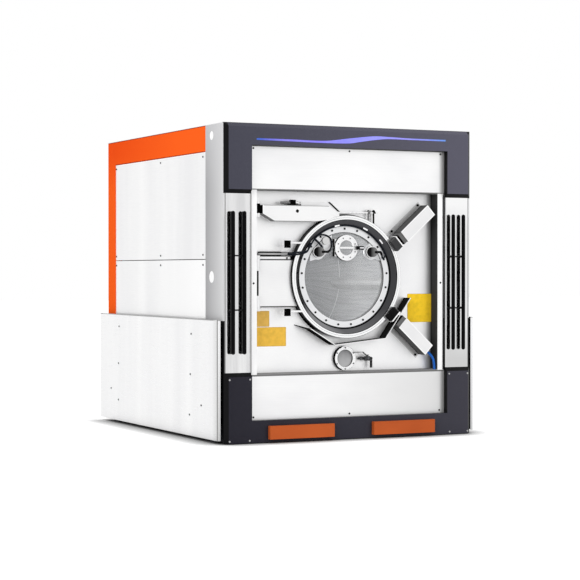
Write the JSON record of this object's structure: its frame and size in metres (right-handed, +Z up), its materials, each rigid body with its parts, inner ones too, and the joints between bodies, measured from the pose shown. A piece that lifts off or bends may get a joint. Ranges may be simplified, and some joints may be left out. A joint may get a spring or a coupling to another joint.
{
  "type": "garment dyeing machine",
  "caption": "Front-loading industrial garment dyeing machine with a round clamped door, a sampling hatch and a belt-driven drum in a tall clad cabinet.",
  "frame": {"origin": "centre of the bounding box on the floor", "axes": "+Z up, the door faces -Y, +X to the right seen from the front"},
  "size_m": [2.236, 2.61, 2.4],
  "materials": {
    "frame_paint": "matt",
    "pillar_paint": "satin",
    "white_plastic": "matt",
    "orange_paint": "satin",
    "side_stainless": "fine brushed",
    "guard_stainless": "satin",
    "upper_graphite": "satin",
    "lower_graphite": "satin",
    "block_paint": "satin",
    "polished_stainless": "polished",
    "black_tube": "gloss",
    "dark_bracket": "satin",
    "panel_stainless": "fine brushed",
    "recess_stainless": "polished",
    "plate_stainless": "fine brushed",
    "dark_screws": "satin",
    "tub_steel": "plain",
    "cast_housing": "painted",
    "bearing_steel": "ground",
    "drum_steel": "satin",
    "lifter_steel": "satin",
    "shaft_steel": "ground",
    "pulley_iron": "turned",
    "belt_rubber": "matt",
    "motor_paint": "satin",
    "hinge_steel": "plain",
    "rim_stainless": "polished",
    "seal_rubber": "matt",
    "flange_stainless": "satin",
    "ring_steel": "satin",
    "window_glass": "clear",
    "arm_stainless": "satin",
    "buffer_rubber": "matt",
    "hatch_steel": "satin",
    "black_plastic": "satin",
    "cable_rubber": "satin",
    "clamp_stainless": "satin",
    "dark_steel": "satin",
    "tray_stainless": "satin",
    "hose_plastic": "satin",
    "tap_steel": "cast and machined",
    "pipe_steel": "plain"
  },
  "bodies": {
    "cabinet": {"base_frame": "frame_paint", "anchor_plates": "frame_paint", "tub_cradle": "frame_paint", "front_pillars": "pillar_paint", "pillar_caps": "white_plastic", "painted_frame": "orange_paint", "side_panels": "side_stainless", "roof_panel": "side_stainless", "rear_panels": "side_stainless", "side_guards": "guard_stainless", "upper_bezel": "upper_graphite", "lower_bezel": "lower_graphite", "plinth_blocks": "block_paint", "column_panels": "polished_stainless", "column_bars": "black_tube", "bar_brackets": "dark_bracket", "front_panels": "panel_stainless", "recess_frame": "recess_stainless", "front_plate": "plate_stainless", "cabinet_screws": "dark_screws", "outer_tub": "tub_steel", "tub_ring": "tub_steel", "bearing_housing": "cast_housing", "bearings": "bearing_steel", "drive_belts": "belt_rubber", "motor": "motor_paint", "hinge_lugs": "hinge_steel", "hinge_pins": "shaft_steel", "clamp_housings": "clamp_stainless", "drip_tray": "tray_stainless", "sight_port": "hatch_steel", "sight_glass": "window_glass", "air_hose": "hose_plastic", "sample_tap": "tap_steel", "pipe_stubs": "pipe_steel"},
    "door": {"door_rim": "rim_stainless", "door_seals": "seal_rubber", "door_flange": "flange_stainless", "door_backing": "ring_steel", "window_glass": "window_glass", "door_screws": "dark_screws", "hinge_arm": "arm_stainless", "arm_conduit": "dark_bracket", "upper_arm": "arm_stainless", "arm_fittings": "dark_bracket", "stop_buffers": "buffer_rubber", "hatch_seat": "hatch_steel", "lamps": "black_plastic", "door_cables": "cable_rubber"},
    "hatch_lid": {"hatch_lid": "hatch_steel", "hatch_glass": "window_glass"},
    "hatch_latch": {"hatch_latch": "black_plastic"},
    "upper_clamp_ram": {"upper_ram": "dark_steel"},
    "lower_clamp_ram": {"lower_ram": "dark_steel"},
    "tap_lever": {"tap_lever": "dark_steel"},
    "drum": {"drum": "drum_steel", "lifters": "lifter_steel", "drum_shaft": "shaft_steel", "drum_pulley": "pulley_iron"},
    "motor_rotor": {"motor_pulley": "pulley_iron"}
  },
  "joints": [
    {"name": "door_hinge", "type": "hinge", "parent": "cabinet", "child": "door", "pos_m": [-0.768, -1.195, 1.248], "axis": [0, 0, -1], "range_deg": [0, 110]},
    {"name": "hatch_lid_hinge", "type": "hinge", "parent": "door", "child": "hatch_lid", "pos_m": [-0.1, -1.146, 1.472], "axis": [0, 0, -1], "range_deg": [0, 120]},
    {"name": "hatch_latch_turn", "type": "hinge", "parent": "door", "child": "hatch_latch", "pos_m": [0.131, -1.155, 1.472], "axis": [0, 1, 0], "range_deg": [0, 90]},
    {"name": "upper_clamp_slide", "type": "slide", "parent": "cabinet", "child": "upper_clamp_ram", "axis": [0.749, 0, 0.6626], "range_m": [0, 0.04]},
    {"name": "lower_clamp_slide", "type": "slide", "parent": "cabinet", "child": "lower_clamp_ram", "axis": [0.7373, 0, -0.6756], "range_m": [0, 0.04]},
    {"name": "tap_lever_turn", "type": "hinge", "parent": "cabinet", "child": "tap_lever", "pos_m": [0.184, -1.164, 0.64], "axis": [0, 0, 1], "range_deg": [0, 90]},
    {"name": "drum_spin", "type": "hinge", "parent": "cabinet", "child": "drum", "pos_m": [0, 0.365, 1.248], "axis": [0, 1, 0], "continuous": true},
    {"name": "motor_spin", "type": "hinge", "parent": "cabinet", "child": "motor_rotor", "pos_m": [-0.56, 0.765, 0.35], "axis": [0, 1, 0], "continuous": true}
  ],
  "couplings": [
    {"joint": "motor_spin", "follows": "drum_spin", "ratio": 4.4211}
  ]
}
